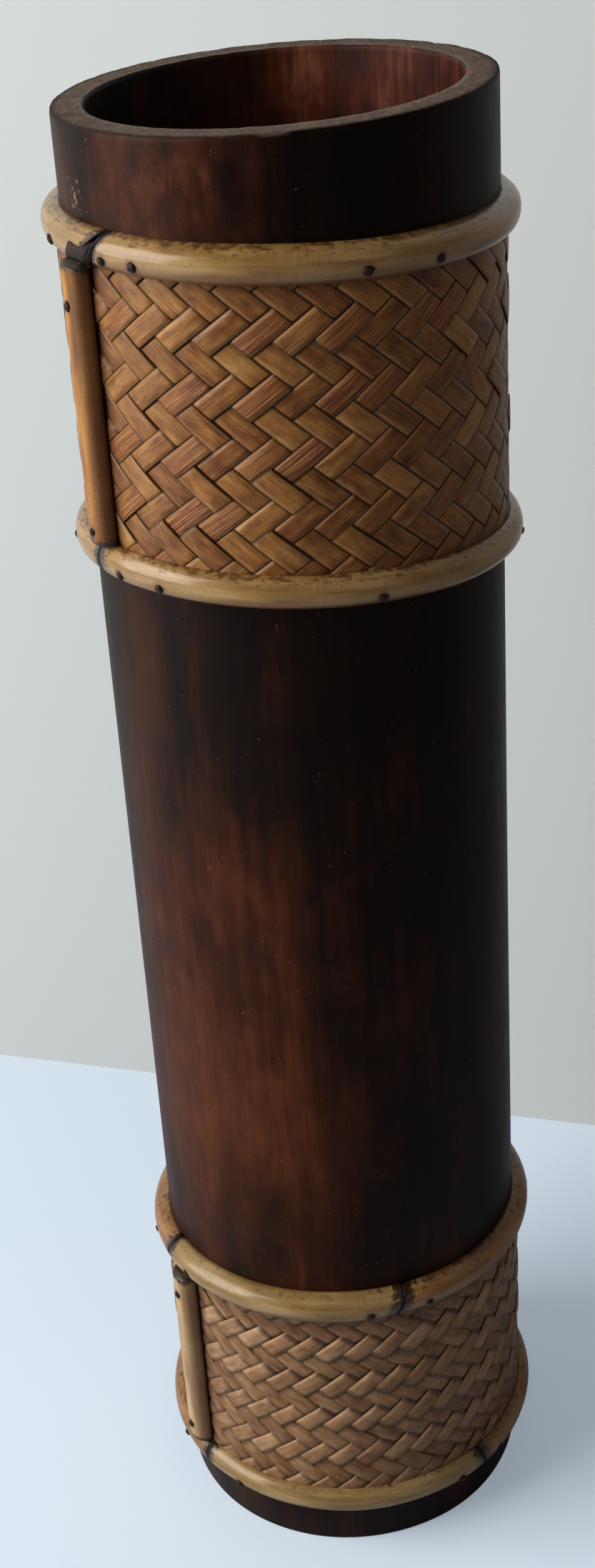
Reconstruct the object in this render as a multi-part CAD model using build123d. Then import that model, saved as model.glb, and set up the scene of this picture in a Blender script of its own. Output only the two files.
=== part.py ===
from build123d import *
import os
from math import cos, pi, radians, sin

# Bamboo vase. One thick-walled length of bamboo culm, closed below by its own node plate and
# dressed with two bands of woven bamboo. Each band is a mat wrapped round the culm, held by a
# split cane hoop over each of its edges and by an upright cane batten over its seam.
# Z is up, the origin is the middle of the foot, and both seams face -X. Sizes are in mm.

# Culm
culm_diameter = 105.0
culm_length = 419.6
rim_wall = 8.0
foot_wall = 8.8
rim_slant = 4.6
foot_edge = 0.8
foot_recess = 3.5
node_plate_thickness = 7.0
bore_corner = 7.0
corner_middle_share = 0.3
cut_overrun = 12.0

# Mats
mat_thickness = 1.5
weave_relief = 0.8
mat_clearance = 0.1
seam_gap = 1.2
mat_inner_facets = 60
spare_floats = 3

upper_mat_drop = 28.0
upper_mat_height = 79.3
upper_right_strip = 5.64
upper_left_strip = 5.95
upper_right_angle = 36.9
upper_left_angle = 39.9
upper_weave_start = 6.3
upper_weave_rise = 6.8

lower_mat_bottom = 19.4
lower_mat_height = 73.0
lower_right_strip = 5.39
lower_left_strip = 5.20
lower_right_angle = 40.5
lower_left_angle = 38.4
lower_weave_start = 9.2
lower_weave_rise = 5.5

# Hoops of split cane. The outline's places are shares of the thickness and the width.
hoop_width = 8.7
hoop_thickness = 2.6
hoop_sides = 72
hoop_outline_shares = [(0, -0.5), (0.58, -0.41), (1, -0.16), (1, 0.16), (0.58, 0.41), (0, 0.5)]
hoop_clearance = 0.35
joint_gap = 1.6
glue_clearance = 0.05

# Each hoop lies a little aslant: it rises by its slant towards the side named by the turn,
# which is counted in degrees from the seam, against the clock from above.
top_hoop_slant = 3.2
top_hoop_slant_turn = -64.0
second_hoop_slant = 5.8
second_hoop_slant_turn = 11.0
third_hoop_slant = 4.2
third_hoop_slant_turn = 55.0
foot_hoop_slant = 1.6
foot_hoop_slant_turn = -50.0

# Battens of half-round cane
batten_width = 10.0
batten_thickness = 4.1
batten_clearance = 0.2
batten_end_clearance = 0.15

# Brads
brad_diameter = 1.9
brad_sides = 8
brad_head_height = 0.35
brad_clearance = 0.1
brad_drop = 0.4
batten_brad_inset = 9.0


culm_radius = culm_diameter / 2
mat_seat = culm_radius + mat_clearance
mat_crest = mat_seat + mat_thickness
hoop_seat = mat_crest + hoop_clearance
batten_back = mat_crest + batten_clearance


def turned(radius, turn, height=0):
    """Point at a radius and height, at a turn in degrees from the seam side."""
    angle = pi + radians(turn)
    return Vector(radius * cos(angle), radius * sin(angle), height)


# Culm: a revolved tube with its node plate, cut off aslant at the rim

def make_culm():
    bore = culm_radius - rim_wall
    recess = culm_radius - foot_wall
    floor = foot_recess + node_plate_thickness
    blank_top = culm_length + cut_overrun
    with BuildPart() as blank:
        with BuildSketch(Plane.XZ):
            with BuildLine():
                Polyline(
                    (0, foot_recess),
                    (recess, foot_recess),
                    (recess, foot_edge),
                    (recess + foot_edge, 0),
                    (culm_radius - foot_edge, 0),
                    (culm_radius, foot_edge),
                    (culm_radius, blank_top),
                    (bore, blank_top),
                    (bore, floor + bore_corner),
                    (bore - bore_corner * corner_middle_share, floor + bore_corner * corner_middle_share),
                    (bore - bore_corner, floor),
                    (0, floor),
                    close=True,
                )
            make_face()
        revolve(axis=Axis.Z)
    slope = rim_slant / culm_diameter
    rim_plane = Plane(origin=(0, 0, culm_length), x_dir=(1, 0, slope), z_dir=(-slope, 0, 1))
    return blank.part.split(rim_plane, keep=Keep.BOTTOM)


# Mats: a two-over two-under twill of flat strips, wrapped round the culm and cut off straight.
# Every float, the stretch where a strip passes over two others, swells like a low roof.

def clip(points, axis, limit, keep_below):
    """Part of a flat polygon of (along, up, swell) points on one side of a straight cut."""
    kept = []
    for start, end in zip(points, points[1:] + points[:1]):
        start_gap = start[axis] - limit if keep_below else limit - start[axis]
        end_gap = end[axis] - limit if keep_below else limit - end[axis]
        if start_gap <= 0:
            kept.append(start)
        if start_gap * end_gap < 0:
            share = start_gap / (start_gap - end_gap)
            cut = [a + (b - a) * share for a, b in zip(start, end)]
            cut[axis] = limit
            kept.append(tuple(cut))
    return kept


def float_facets(low, high, corner, along_float, across_float):
    """Six facets of one float, which is two strips long and one strip wide."""
    def at(along, across, swell):
        x = corner[0] + along_float[0] * along + across_float[0] * across
        y = corner[1] + along_float[1] * along + across_float[1] * across
        return (x, y, swell)
    rim = [at(0, 0, low), at(1, 0, low), at(2, 0, low), at(2, 1, low), at(1, 1, low), at(0, 1, low)]
    crest = at(1, 0.5, high)
    return [(start, end, crest) for start, end in zip(rim, rim[1:] + rim[:1])]


def make_mat(bottom, height, right_strip, left_strip, right_angle, left_angle, start, rise):
    valley = mat_crest - weave_relief
    length = 2 * pi * mat_crest - seam_gap
    crossing = sin(radians(right_angle + left_angle))
    right_step = left_strip / crossing
    left_step = right_strip / crossing
    right = (right_step * cos(radians(right_angle)), right_step * sin(radians(right_angle)))
    left = (left_step * cos(radians(left_angle)), -left_step * sin(radians(left_angle)))

    def place(along, up, radius):
        angle = pi + (seam_gap / 2 + along) / mat_crest
        return (radius * cos(angle), radius * sin(angle), bottom + up)

    def surface(point):
        return place(point[0], point[1], valley + weave_relief * point[2])

    columns = int(length / (right[0] + left[0])) + 3
    rows = int(height / (right[1] - left[1])) + 3
    reach = columns + rows
    pieces = []
    for i in range(-reach, reach):
        for j in range(-reach, reach):
            corner = (start + i * left[0] + j * right[0], rise + i * left[1] + j * right[1])
            if (i - j) % 4 == 1:
                floats = float_facets(0, 1, corner, right, left)
            elif (i - j) % 4 == 2:
                floats = float_facets(0, 1, corner, left, right)
            else:
                continue
            middle = (corner[0] + right[0] + left[0], corner[1])
            far_side = max(right[0], left[0]) * spare_floats
            if not (-far_side < middle[0] < length + far_side and -far_side < middle[1] < height + far_side):
                continue
            for facet in floats:
                shape = list(facet)
                for axis, limit, keep_below in ((0, 0, False), (0, length, True), (1, 0, False), (1, height, True)):
                    shape = clip(shape, axis, limit, keep_below) if len(shape) > 2 else []
                for k in range(1, len(shape) - 1):
                    pieces.append((shape[0], shape[k], shape[k + 1]))

    faces = []
    rims = {(0, 0): {}, (0, length): {}, (1, 0): {}, (1, height): {}}
    for piece in pieces:
        corners = [Vector(*surface(point)) for point in piece]
        if (corners[1] - corners[0]).cross(corners[2] - corners[0]).length < mat_clearance ** 4:
            continue
        faces.append(Face(Wire.make_polygon(corners)))
        for point in piece:
            for (axis, limit), found in rims.items():
                if point[axis] == limit:
                    found[round(point[1 - axis], 6)] = surface(point)

    inner_steps = [length * k / mat_inner_facets for k in range(mat_inner_facets + 1)]
    for near, far in zip(inner_steps, inner_steps[1:]):
        wall = [place(near, 0, mat_seat), place(far, 0, mat_seat)]
        wall += [place(far, height, mat_seat), place(near, height, mat_seat)]
        faces.append(Face(Wire.make_polygon(wall)))
    for limit in (0, height):
        outer = [rims[(1, limit)][key] for key in sorted(rims[(1, limit)])]
        inner = [place(step, limit, mat_seat) for step in reversed(inner_steps)]
        faces.append(Face(Wire.make_polygon(outer + inner)))
    for limit in (0, length):
        outer = [rims[(0, limit)][key] for key in sorted(rims[(0, limit)])]
        inner = [place(limit, height, mat_seat), place(limit, 0, mat_seat)]
        faces.append(Face(Wire.make_polygon(outer + inner)))
    return Solid(Shell(faces))


# Brads: small dark heads, seated flat on the cane

def brad(front, turn, height):
    """Head of one brad, seated on cane whose front is at a radius from the culm's axis."""
    head = extrude(RegularPolygon(brad_diameter / 2, brad_sides), amount=brad_head_height)
    return Pos(*turned(front + brad_clearance, turn, height)) * Rot(0, 0, turn) * Rot(0, -90, 0) * head


# Hoops: a ring of split cane, flat behind and round in front, sawn through at its joints.
# The gaps at the joints are filled with dark glue.

def hoop_plane(height, slant, slant_turn):
    """Plane in which a hoop lies, with its X axis still opposite the seam."""
    slope = slant / culm_diameter
    high = turned(slope, slant_turn)
    normal = Vector(-high.X, -high.Y, 1).normalized()
    across = Vector(1, 0, 0) - normal * normal.X
    return Plane(origin=(0, 0, height), x_dir=across, z_dir=normal)


def hoop_height(height, slant, slant_turn, turn, radius):
    """Height of a hoop's middle at a turn from the seam."""
    return height + radius * slant / culm_diameter * cos(radians(turn - slant_turn))


def make_ring():
    """Whole ring in short straight facets, flat behind and rounded off in front."""
    step = 360 / hoop_sides
    corner_radius = hoop_seat / cos(radians(step / 2))
    path = Polyline(*[turned(corner_radius, step * (k - 0.5)) for k in range(hoop_sides)], close=True)
    corners = [(out * hoop_thickness, up * hoop_width) for out, up in hoop_outline_shares]
    with BuildSketch(Plane(origin=turned(hoop_seat, 0), x_dir=(-1, 0, 0), z_dir=(0, 1, 0))) as section:
        with BuildLine():
            Polyline(*corners, close=True)
        make_face()
    return sweep(section.sketch, path=path, transition=Transition.RIGHT)


def saw_cut(turn, scarf_angle, width):
    """Slab across a hoop at a turn from the seam, leaned over by its scarf angle."""
    depth = 4 * hoop_thickness
    tall = 3 * hoop_width
    slab = Box(depth, width, tall)
    seat = Pos(*turned(hoop_seat + hoop_thickness / 2, turn)) * Rot(0, 0, turn) * Rot(scarf_angle, 0, 0)
    return seat * slab


def make_hoop(height, slant, slant_turn, joints, brad_turns):
    """Cane pieces of one hoop, front piece first, the glue in its joints, and its brads."""
    ring = make_ring()
    plane = hoop_plane(height, slant, slant_turn)
    pieces = ring
    glue = []
    for turn, scarf_angle in joints:
        pieces = pieces - saw_cut(turn, scarf_angle, joint_gap)
        filling = ring & saw_cut(turn, scarf_angle, joint_gap - 2 * glue_clearance)
        glue += [solid for solid in filling.solids() if solid.center().dot(turned(1, turn)) > 0]
    canes = pieces.solids().sort_by(Axis.Y)
    brads = [brad(hoop_seat + hoop_thickness, turn, -brad_drop) for turn in brad_turns]
    return [[plane * solid for solid in group] for group in (canes, glue, brads)]


# Battens: straight half-round cane over the seam, from hoop to hoop

def make_batten(bottom, top):
    back = -batten_back
    with BuildSketch(Plane.XY.offset(bottom)) as section:
        with BuildLine():
            ThreePointArc((back, -batten_width / 2), (back - batten_thickness, 0), (back, batten_width / 2))
            Line((back, batten_width / 2), (back, -batten_width / 2))
        make_face()
    return extrude(section.sketch, amount=top - bottom, dir=(0, 0, 1))


upper_mat_top = culm_length - upper_mat_drop
upper_mat_bottom = upper_mat_top - upper_mat_height
lower_mat_top = lower_mat_bottom + lower_mat_height

# Height, slant and slant turn of each hoop, from the rim down
top_hoop = (upper_mat_top, top_hoop_slant, top_hoop_slant_turn)
second_hoop = (upper_mat_bottom, second_hoop_slant, second_hoop_slant_turn)
third_hoop = (lower_mat_top, third_hoop_slant, third_hoop_slant_turn)
foot_hoop = (lower_mat_bottom, foot_hoop_slant, foot_hoop_slant_turn)

# Turn from the seam and scarf angle of each joint, in degrees
top_joint_angles = [(9.5, 35.0)]
second_joint_angles = [(-1.0, 0.0)]
third_joint_angles = [(-6.0, 0.0), (75.3, 25.0)]
foot_joint_angles = [(5.8, 0.0), (102.9, -15.0)]

# Turns of the brads in each hoop, in degrees from the seam
top_brad_turns = [13.8, 23.2, 78.1, 97.0, 154.0, 208.0, 262.0, 318.0, 349.0]
second_brad_turns = [8.5, 22.2, 78.4, 141.0, 205.0, 270.0, 334.0]
third_brad_turns = [4.4, 66.0, 84.0, 150.0, 214.0, 278.0, 340.0]
foot_brad_turns = [20.0, 93.5, 111.0, 172.0, 236.0, 300.0, 352.0]


def batten_between(lower, upper):
    bottom = hoop_height(*lower, 0, hoop_seat) + hoop_width / 2 + batten_end_clearance
    top = hoop_height(*upper, 0, hoop_seat) - hoop_width / 2 - batten_end_clearance
    batten = make_batten(bottom, top)
    brad_heights = (bottom + batten_brad_inset, top - batten_brad_inset)
    return batten, [brad(batten_back + batten_thickness, 0, height) for height in brad_heights]


def build():
    nodes = {"culm": make_culm()}
    nodes["upper_woven_mat"] = make_mat(
        upper_mat_bottom, upper_mat_height, upper_right_strip, upper_left_strip,
        upper_right_angle, upper_left_angle, upper_weave_start, upper_weave_rise,
    )
    nodes["lower_woven_mat"] = make_mat(
        lower_mat_bottom, lower_mat_height, lower_right_strip, lower_left_strip,
        lower_right_angle, lower_left_angle, lower_weave_start, lower_weave_rise,
    )
    top_canes, top_glue, top_brads = make_hoop(*top_hoop, top_joint_angles, top_brad_turns)
    second_canes, second_glue, second_brads = make_hoop(*second_hoop, second_joint_angles, second_brad_turns)
    third_canes, third_glue, third_brads = make_hoop(*third_hoop, third_joint_angles, third_brad_turns)
    foot_canes, foot_glue, foot_brads = make_hoop(*foot_hoop, foot_joint_angles, foot_brad_turns)
    nodes["upper_band_top_hoop"] = top_canes[0]
    nodes["upper_band_bottom_hoop"] = second_canes[0]
    nodes["lower_band_top_hoop_front"] = third_canes[0]
    nodes["lower_band_top_hoop_back"] = third_canes[1]
    nodes["lower_band_bottom_hoop_front"] = foot_canes[0]
    nodes["lower_band_bottom_hoop_back"] = foot_canes[1]
    nodes["hoop_joint_glue"] = Compound(top_glue + second_glue + third_glue + foot_glue)

    nodes["upper_seam_batten"], upper_ends = batten_between(second_hoop, top_hoop)
    nodes["lower_seam_batten"], lower_ends = batten_between(foot_hoop, third_hoop)
    nodes["upper_band_brads"] = Compound(top_brads + second_brads + upper_ends)
    nodes["lower_band_brads"] = Compound(third_brads + foot_brads + lower_ends)
    return nodes


os.makedirs("parts", exist_ok=True)
for name, shape in build().items():
    export_step(shape, f"parts/{name}.step")
    print(name, round(shape.volume, 2))
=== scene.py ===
import random
from collections import namedtuple
from math import atan2, cos, degrees, hypot, pi, radians, sin

import bmesh
import bpy
from mathutils import Matrix, Vector, noise


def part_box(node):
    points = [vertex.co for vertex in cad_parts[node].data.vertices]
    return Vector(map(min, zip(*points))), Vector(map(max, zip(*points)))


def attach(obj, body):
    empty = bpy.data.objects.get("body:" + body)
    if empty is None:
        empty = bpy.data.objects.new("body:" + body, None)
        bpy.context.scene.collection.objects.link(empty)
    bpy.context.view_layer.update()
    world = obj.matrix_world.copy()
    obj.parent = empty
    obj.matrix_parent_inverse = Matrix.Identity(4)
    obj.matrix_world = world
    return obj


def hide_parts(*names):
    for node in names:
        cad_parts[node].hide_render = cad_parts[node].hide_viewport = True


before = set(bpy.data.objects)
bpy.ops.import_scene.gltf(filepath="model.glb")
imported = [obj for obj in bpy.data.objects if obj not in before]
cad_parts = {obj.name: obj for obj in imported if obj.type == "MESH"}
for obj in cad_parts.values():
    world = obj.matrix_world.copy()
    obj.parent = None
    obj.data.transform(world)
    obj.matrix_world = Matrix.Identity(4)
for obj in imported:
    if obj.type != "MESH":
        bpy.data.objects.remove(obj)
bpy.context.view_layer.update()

# Culm
# One stout length of bamboo, stained dark red-brown under a thin satin lacquer. It was sawn a little
# aslant at the rim and square at the foot, and its own node plate closes the tube above the foot.

mm = 0.001
weld_reach = 0.001 * mm
culm_low, culm_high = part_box("culm")
culm_radius = (culm_high.x - culm_low.x) / 2
rim_rise = 4.6 * mm
rim_height = culm_high.z - rim_rise / 2
rim_wall = 8.0 * mm
foot_wall = 8.8 * mm
foot_edge = 0.8 * mm
foot_recess = 3.5 * mm
floor_height = 10.5 * mm
floor_corner = 7.0 * mm
rim_rounding = 0.5 * mm
foot_taper = 0.4 * mm


def turn_of(point):
    """Turn of a point in degrees from the seam, counted against the clock from above."""
    return (degrees(atan2(point.y, point.x)) - 180) % 360


def turned(turn, radius, height):
    """Point at a turn in degrees from the seam."""
    angle = pi + radians(turn)
    return Vector((radius * cos(angle), radius * sin(angle), height))


def rounded(share):
    """Smooth step of a share from 0 to 1."""
    share = min(max(share, 0), 1)
    return share * share * (3 - 2 * share)


def smooth(mesh):
    """Turns the faces outward and shades them smooth."""
    bmesh.ops.recalc_face_normals(mesh, faces=mesh.faces)
    for face in mesh.faces:
        face.smooth = True


def placed(name, mesh):
    """Object in the scene that holds a finished mesh."""
    data = bpy.data.meshes.new(name)
    mesh.to_mesh(data)
    mesh.free()
    made = bpy.data.objects.new(name, data)
    bpy.context.scene.collection.objects.link(made)
    return made


def piece(name, mesh, materials, slot, *nodes):
    """Finished object of one piece, riding on the vase's one body in place of its CAD nodes."""
    made = placed(name, mesh)
    for material in materials:
        made.data.materials.append(material)
    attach(made, "root")
    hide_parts(*nodes)
    return made


def make_culm():
    """Profile of the tube, spun round the axis, then swollen a little, sawn aslant, nicked and chipped."""
    bore = culm_radius - rim_wall
    recess = culm_radius - foot_wall
    soft = rim_rounding
    wall_rows, rim_rows, bore_rows, corner_rows = 24, 12, 16, 6
    wall_top = rim_height - 14 * mm
    near_rim = [9, 6, 4.2, 3, 2.2, 1.6, 1.1]
    profile = [(0, foot_recess), (recess, foot_recess), (recess, foot_edge), (recess + foot_edge, 0)]
    profile += [(culm_radius - foot_edge, 0), (culm_radius - foot_edge * 0.3, foot_edge * 0.25)]
    for k in range(wall_rows + 1):
        profile.append((culm_radius, foot_edge + (wall_top - foot_edge) * k / wall_rows))
    profile += [(culm_radius, rim_height - below * mm) for below in near_rim]
    profile.append((culm_radius - soft * 0.3, rim_height - soft * 0.35))
    inner, outer = bore + soft, culm_radius - soft
    profile += [(outer + (inner - outer) * k / rim_rows, rim_height) for k in range(rim_rows + 1)]
    profile.append((bore + soft * 0.2, rim_height - soft * 0.5))
    profile += [(bore, rim_height - below * mm) for below in reversed(near_rim)]
    bore_foot = floor_height + floor_corner
    profile += [(bore, wall_top + (bore_foot - wall_top) * k / bore_rows) for k in range(bore_rows + 1)]
    for k in range(1, corner_rows + 1):
        bend = pi / 2 * k / corner_rows
        profile.append((bore - floor_corner * (1 - cos(bend)), bore_foot - floor_corner * sin(bend)))
    profile.append((0, floor_height))

    mesh = bmesh.new()
    points = [mesh.verts.new((radius, 0, height)) for radius, height in profile]
    lines = [mesh.edges.new(pair) for pair in zip(points, points[1:])]
    bmesh.ops.spin(
        mesh, geom=points + lines, cent=(0, 0, 0), axis=(0, 0, 1), angle=2 * pi, steps=480, use_merge=True
    )
    bmesh.ops.remove_doubles(mesh, verts=mesh.verts, dist=weld_reach)
    smooth(mesh)
    sawn_faces, bore_faces = 1, 2
    for face in mesh.faces:
        middle = face.calc_center_median()
        radius = hypot(middle.x, middle.y)
        on_rim = middle.z > rim_height - 0.1 * mm
        under_foot = middle.z < foot_recess + 0.1 * mm and radius < culm_radius - 0.3 * mm
        if on_rim or under_foot:
            face.material_index = sawn_faces
        elif radius < culm_radius - 2 * mm:
            face.material_index = bore_faces

    slope = rim_rise / (2 * culm_radius)
    skin_inset, swell, swell_length = 0.12 * mm, 0.2 * mm, 150 * mm
    saw_marks = ((0.06 * mm, 0.7 * mm), (0.12 * mm, 5 * mm))
    saw_zone, worn_edge, edge_step = 3 * soft, 1.6 * mm, 1.2 * mm
    nicks_round, nick_rarity, nick_depth = 34, 0.3, 0.5 * mm
    chip_turn, chip_width, chip_depth, chip_steepness = 58.0, 5.0, 0.55 * mm, 1.6
    for vert in mesh.verts:
        point = vert.co.copy()
        spun = hypot(point.x, point.y)
        if spun < 1 * mm:
            continue
        side = Vector((point.x / spun, point.y / spun, 0))
        swollen = noise.noise(Vector((side.x * 1.6, side.y * 1.6, point.z / swell_length))) * swell
        if spun > bore:
            radius = spun - (foot_taper * (1 - point.z / rim_height) + skin_inset + swollen)
        else:
            radius = spun + swollen
        height = point.z
        if point.z > rim_height - saw_zone:
            sawn_up = sum(noise.noise(point / size) * depth for depth, size in saw_marks)
            height += sawn_up * rounded((point.z - rim_height + saw_zone) / saw_zone)
        if point.z > rim_height - soft:
            edge = rounded((spun - culm_radius + worn_edge) / edge_step)
            nick = max(noise.noise(side * nicks_round + Vector((0, 0, 3))) - nick_rarity, 0)
            near = max(1 - abs((turn_of(point) - chip_turn) / chip_width), 0)
            height -= (nick * nick_depth + rounded(near * chip_steepness) * chip_depth) * edge
        height += slope * side.x * radius * point.z / rim_height
        vert.co = Vector((side.x * radius, side.y * radius, height))
    return mesh


def linear(code):
    """Linear colour of an sRGB hex value."""
    parts = [int(code[k:k + 2], 16) / 255 for k in (1, 3, 5)]
    return [c / 12.92 if c <= 0.04045 else ((c + 0.055) / 1.055) ** 2.4 for c in parts] + [1]


def feed(material, target, inputs):
    """Sets a node's inputs, by order or by name, to numbers, hex colours or the outputs of other nodes."""
    for name, value in inputs.items() if isinstance(inputs, dict) else enumerate(inputs):
        socket = target.inputs[name]
        if isinstance(value, bpy.types.Node):
            value = value.outputs[0]
        if isinstance(value, bpy.types.NodeSocket):
            material.node_tree.links.new(value, socket)
        else:
            socket.default_value = linear(value) if isinstance(value, str) else value


def node(material, kind, inputs, stops=(), **settings):
    """Adds a shader node with its settings and links. The stops of a colour ramp are places and colours."""
    made = material.node_tree.nodes.new("ShaderNode" + kind)
    for name, value in settings.items():
        setattr(made, name, value)
    feed(material, made, inputs)
    if stops:
        ramp = made.color_ramp.elements
        ramp.remove(ramp[1])
        ramp[0].position, ramp[0].color = stops[0][0], linear(stops[0][1])
        for place, colour in stops[1:]:
            ramp.new(place).color = linear(colour)
    return made


def new_material(name):
    """Material with its shader, and the object's own coordinates to draw patterns on."""
    material = bpy.data.materials.new(name)
    material.use_nodes = True
    place = node(material, "TexCoord", ()).outputs["Object"]
    return material, material.node_tree.nodes["Principled BSDF"], place


def per_mm(*size):
    """Scale at which a pattern's blots have a size in millimetres along each axis."""
    return [1 / (part * mm) for part in size]


def soft_spot(material, place, middle, spread, squash, gain):
    """Gain that fades out over a spread in mm round a point. A low squash draws it out in height."""
    flat = node(material, "VectorMath", (place, (1, 1, squash)), operation="MULTIPLY")
    middle = Vector((middle.x, middle.y, middle.z * squash))
    far = node(material, "VectorMath", (flat, middle), operation="DISTANCE").outputs["Value"]
    return node(material, "MapRange", (far, spread * mm, 0, 0, gain), interpolation_type="SMOOTHSTEP")


# Stained bamboo skin: spirit stain wiped along the culm under thin satin lacquer. It is near black where
# the stain lay thick and glows red-brown in broad soft streaks where a hand rubbed it thin.
skin, shader, place = new_material("stained_bamboo_skin")
# Size of each pattern in mm along the axes, and its detail
streaks, clouds, fibres, mottle, worn, nicks = [
    node(skin, "TexNoise", {
        "Vector": node(skin, "Mapping", {"Vector": place, "Scale": per_mm(*size)}),
        "Scale": 1.0, "Detail": detail, "Roughness": 0.6,
    })
    for size, detail in (
        ((7, 7, 230), 2.0), ((26, 26, 60), 3.0), ((0.5, 0.5, 9), 3.0),
        ((5, 5, 8), 5.0), ((1.1, 1.1, 1.6), 3.0), ((0.8, 0.8, 1.4), 1.0),
    )
]
fine = node(skin, "MapRange", (fibres, 0.3, 0.7, -0.035, 0.035))
height = node(skin, "SeparateXYZ", {"Vector": place}).outputs["Z"]
rubbed = node(skin, "MapRange", (height, 310 * mm, 150 * mm, -0.13, 0.02))
foot_shade = node(skin, "MapRange", (height, 160 * mm, 90 * mm, 0, -0.09))
rubbed = node(skin, "Math", (rubbed, foot_shade), operation="ADD")
# Painted light: the skin is a little lighter on the side towards the window lamp and darker on the side away
# from it
lit_side = node(skin, "VectorMath", (place, turned(10, 1, 0)), operation="DOT_PRODUCT").outputs["Value"]
painted_side_light = node(skin, "MapRange", (lit_side, -20 * mm, culm_radius, -0.05, 0.05))
patchy = node(skin, "MapRange", (mottle, 0.3, 0.7, -0.035, 0.035))
depth = node(skin, "MixRGB", (0.36, clouds, streaks))
for part in (fine, rubbed, painted_side_light, patchy):
    depth = node(skin, "Math", (depth, part), operation="ADD")
# Turn, height, spread, squash and gain of the spots that a hand rubbed thin, and how mottled they are
for turn, level, spread, squash, gain, mottled in (
    (30, 410, 34, 1.0, 0.2, 0.6), (22, 185, 62, 0.42, 0.1, 0.15), (215, 190, 60, 0.35, 0.09, 0.15),
):
    near = soft_spot(skin, place, turned(turn, culm_radius, level * mm), spread, squash, gain)
    spot = node(skin, "MapRange", (mottle, 0.3, 0.7, 1 - mottled, 1 + mottled))
    near = node(skin, "Math", (near, spot), operation="MULTIPLY")
    depth = node(skin, "Math", (depth, near), operation="ADD")
stain_stops = [(0.28, "#0b0503"), (0.44, "#1a0c07"), (0.6, "#3a1c10"), (0.8, "#5f351f")]
stain = node(skin, "ValToRGB", {"Fac": depth}, stops=stain_stops)
# A chafed spot beside the seam, above the upper band
chafed_spot = turned(-3, culm_radius, 400.5 * mm)
far = node(skin, "VectorMath", (place, chafed_spot), operation="DISTANCE").outputs["Value"]
chafed = node(skin, "MapRange", (far, 9 * mm, 1 * mm, 0, 0.16))
chafed = node(skin, "Math", (worn, chafed), operation="ADD")
chafed = node(skin, "MapRange", (chafed, 0.7, 0.78, 0, 0.6))
colour = node(skin, "MixRGB", (chafed, stain, "#a08a72"))
nicked = node(skin, "MapRange", (nicks, 0.84, 0.86, 0, 0.7))
colour = node(skin, "MixRGB", (nicked, colour, "#7d5438"))
gloss = node(skin, "MapRange", (mottle, 0, 1, 0.36, 0.54))
relief = node(skin, "Bump", {"Height": fibres, "Strength": 0.12, "Distance": 0.1 * mm})
feed(skin, shader, {"Base Color": colour, "Roughness": gloss, "Normal": relief})
feed(skin, shader, {"IOR": 1.5, "Specular IOR Level": 0.08})

# Sawn bamboo end grain: the cut ends of the fibre bundles, rough and grey with dust, with a pale nap of torn
# fibres along the bore and stain soaked into the outer edge. One crack crosses the rim beside the seam.
sawn, shader, place = new_material("sawn_bamboo_end_grain")
dust, nap = [
    node(sawn, "TexNoise", {
        "Vector": node(sawn, "Mapping", {"Vector": place, "Scale": per_mm(size, size, size)}),
        "Scale": 1.0, "Detail": 4.0, "Roughness": 0.6,
    })
    for size in (4, 0.35)
]
bundle_size = 0.75 * mm
bundles = node(sawn, "Mapping", {"Vector": place, "Scale": (1 / bundle_size, 1 / bundle_size, 0)})
bundles = node(sawn, "TexVoronoi", {"Vector": bundles, "Scale": 1.0, "Randomness": 0.9})
bundle_stops = [(0.1, "#31261f"), (0.42, "#645347"), (0.75, "#8a796c")]
dots = node(sawn, "ValToRGB", {"Fac": bundles}, stops=bundle_stops)
dusty = node(sawn, "ValToRGB", {"Fac": dust}, stops=[(0.35, "#44342b"), (0.65, "#7d6b5e")])
colour = node(sawn, "MixRGB", (0.5, dots, dusty))
flat = node(sawn, "Mapping", {"Vector": place, "Scale": (1, 1, 0)})
reach = node(sawn, "VectorMath", (flat,), operation="LENGTH").outputs["Value"]
edge = node(sawn, "MapRange", (reach, culm_radius - 2.2 * mm, culm_radius - 0.5 * mm, 0, 1))
colour = node(sawn, "MixRGB", (edge, colour, "#251914"))
lint = node(sawn, "MapRange", (reach, culm_radius - 4.5 * mm, culm_radius - 7.6 * mm, 0, 0.17))
lint = node(sawn, "Math", (nap, lint), operation="ADD")
lint = node(sawn, "MapRange", (lint, 0.64, 0.74, 0, 0.8))
colour = node(sawn, "MixRGB", (lint, colour, "#a89c90"))
crack_turn = -12
crack = node(sawn, "VectorMath", (place, turned(crack_turn + 90, 1, 0)), operation="DOT_PRODUCT")
waver = node(sawn, "MapRange", (dust, 0, 1, -1.2 * mm, 1.2 * mm))
crack = node(sawn, "Math", (crack.outputs["Value"], waver), operation="ADD")
crack = node(sawn, "Math", (crack,), operation="ABSOLUTE")
crack = node(sawn, "MapRange", (crack, 0.35 * mm, 0.12 * mm, 0, 0.85))
near_side = node(sawn, "VectorMath", (place, turned(crack_turn, 1, 0)), operation="DOT_PRODUCT")
near_side = node(sawn, "Math", (near_side.outputs["Value"], 0.0), operation="GREATER_THAN")
crack = node(sawn, "Math", (crack, near_side), operation="MULTIPLY")
colour = node(sawn, "MixRGB", (crack, colour, "#140d0a"))
relief = node(sawn, "Bump", {"Height": nap, "Strength": 0.5, "Distance": 0.25 * mm})
feed(sawn, shader, {"Base Color": colour, "Roughness": 0.85, "Normal": relief})
feed(sawn, shader, {"IOR": 1.45, "Specular IOR Level": 0.3})

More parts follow.
